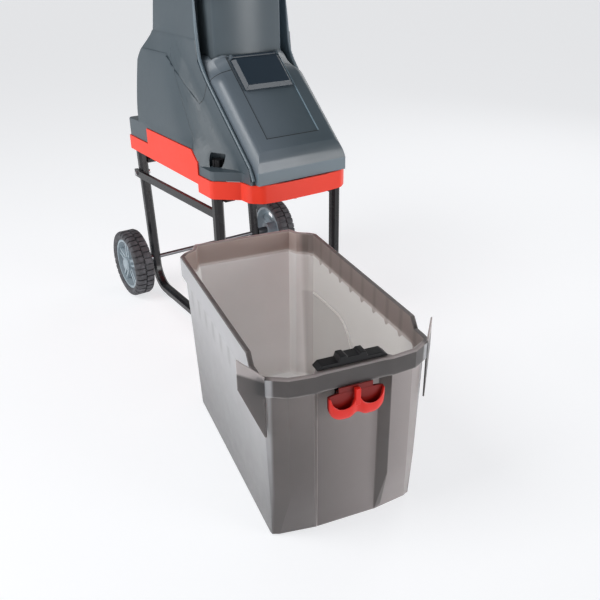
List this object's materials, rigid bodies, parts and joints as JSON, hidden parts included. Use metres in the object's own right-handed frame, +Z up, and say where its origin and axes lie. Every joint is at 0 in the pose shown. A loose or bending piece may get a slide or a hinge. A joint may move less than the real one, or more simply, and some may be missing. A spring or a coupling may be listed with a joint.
{
  "type": "garden shredder",
  "caption": "Wheeled garden shredder: tilting hopper and motor housing over a knife disc on a red tray and tube frame, with a latched chip bin standing in front.",
  "frame": {"origin": "on the floor, below the middle of the box round the machine and its bin", "axes": "+X to the right for someone who looks at the machine's front, +Y from the front to the back, +Z up"},
  "size_m": [0.7439, 1.2721, 0.972],
  "materials": {
    "frame_black": "glossy black powder coat",
    "rail_black": "satin black",
    "axle_steel": "dark steel",
    "foot_rubber": "black rubber",
    "screw_steel": "zinc plated",
    "tray_red": "moulded red",
    "black_plastic": "moulded black",
    "plunger_white": "moulded off-white",
    "tyre_black": "black rubber tread",
    "wheel_grey": "light blue-grey",
    "housing_grey": "slate blue-grey, fine grain",
    "cover_grey": "dark slate",
    "plate_steel": "sheet steel",
    "motor_alloy": "cast",
    "stator_core": "varnished lamination stack",
    "bright_steel": "ground",
    "button_green": "green",
    "button_red": "red",
    "bin_smoke": "smoky translucent",
    "latch_red": "red"
  },
  "bodies": {
    "chassis": {"left_side_frame": "frame_black", "right_side_frame": "frame_black", "left_rear_leg": "frame_black", "right_rear_leg": "frame_black", "left_side_rail": "rail_black", "right_side_rail": "rail_black", "rear_cross_bar": "frame_black", "axle": "axle_steel", "wheel_spacers": "axle_steel", "foot_pads": "foot_rubber", "frame_bolts": "screw_steel", "base_tray": "tray_red", "bin_guides": "black_plastic", "hinge_pins": "screw_steel", "interlock_switch": "black_plastic"},
    "interlock": {"interlock_plunger": "plunger_white"},
    "left_wheel_set": {"left_tyre": "tyre_black", "left_wheel": "wheel_grey", "left_hub_cap": "wheel_grey"},
    "right_wheel_set": {"right_tyre": "tyre_black", "right_wheel": "wheel_grey", "right_hub_cap": "wheel_grey"},
    "upper_unit": {"lower_housing": "housing_grey", "nose_hood": "housing_grey", "tower_shell": "housing_grey", "hopper_funnel": "housing_grey", "feed_chute": "housing_grey", "motor_plate": "plate_steel", "plate_screws": "screw_steel", "lower_end_bell": "motor_alloy", "stator": "stator_core", "upper_end_bell": "motor_alloy", "lower_bearing": "bright_steel", "upper_bearing": "bright_steel", "motor_screws": "screw_steel", "capacitor": "motor_alloy", "counter_blade": "bright_steel", "counter_blade_bolts": "screw_steel", "power_inlet": "black_plastic", "switch_box": "black_plastic", "cover_pin": "screw_steel"},
    "rotor": {"rotor_shaft": "bright_steel", "cooling_fan": "black_plastic", "knife_disc": "plate_steel", "knives": "bright_steel", "knife_bolts": "screw_steel", "disc_nut": "screw_steel"},
    "reset": {"reset_button": "button_red"},
    "start": {"start_button": "button_green"},
    "stop": {"stop_button": "button_red"},
    "cover": {"switch_cover": "cover_grey"},
    "left_lock": {"left_lock_knob": "black_plastic"},
    "right_lock": {"right_lock_knob": "black_plastic"},
    "bin": {"bin_shell": "bin_smoke"},
    "latch": {"latch_bar": "black_plastic", "latch_grip": "latch_red"}
  },
  "joints": [
    {"name": "left_wheel_spin", "type": "hinge", "parent": "chassis", "child": "left_wheel_set", "pos_m": [-0.1451, 0.539, 0.097], "axis": [1, 0, 0], "continuous": true},
    {"name": "right_wheel_spin", "type": "hinge", "parent": "chassis", "child": "right_wheel_set", "pos_m": [0.3449, 0.539, 0.097], "axis": [1, 0, 0], "continuous": true},
    {"name": "housing_tilt", "type": "hinge", "parent": "chassis", "child": "upper_unit", "pos_m": [0.0999, 0.604, 0.466], "axis": [-1, 0, 0], "range_deg": [0, 60]},
    {"name": "rotor_spin", "type": "hinge", "parent": "upper_unit", "child": "rotor", "pos_m": [0.0999, 0.249, 0.5], "axis": [0, 0, 1], "continuous": true},
    {"name": "left_lock_turn", "type": "hinge", "parent": "upper_unit", "child": "left_lock", "pos_m": [-0.0531, 0.126, 0.48], "axis": [0, 0, 1], "continuous": true},
    {"name": "right_lock_turn", "type": "hinge", "parent": "upper_unit", "child": "right_lock", "pos_m": [0.2529, 0.126, 0.48], "axis": [0, 0, 1], "continuous": true},
    {"name": "cover_swing", "type": "hinge", "parent": "upper_unit", "child": "cover", "pos_m": [0.0999, 0.20021, 0.70135], "axis": [-1, 0, 0], "range_deg": [0, 110]},
    {"name": "start_press", "type": "slide", "parent": "upper_unit", "child": "start", "axis": [0, 0.6691, -0.7431], "range_m": [0, 0.003], "stiffness_N_per_m": 400},
    {"name": "stop_press", "type": "slide", "parent": "upper_unit", "child": "stop", "axis": [0, 0.6691, -0.7431], "range_m": [0, 0.003], "stiffness_N_per_m": 400},
    {"name": "reset_press", "type": "slide", "parent": "upper_unit", "child": "reset", "axis": [0, -1, 0], "range_m": [0, 0.003], "stiffness_N_per_m": 400},
    {"name": "interlock_press", "type": "slide", "parent": "chassis", "child": "interlock", "axis": [0, 0, 1], "range_m": [0, 0.004], "stiffness_N_per_m": 400},
    {"name": "bin_slide", "type": "slide", "parent": "chassis", "child": "bin", "axis": [0.1942, 0.981, 0], "range_m": [-0.25, 0.1]},
    {"name": "latch_slide", "type": "slide", "parent": "bin", "child": "latch", "axis": [0, 0, 1], "range_m": [0, 0.015]}
  ]
}
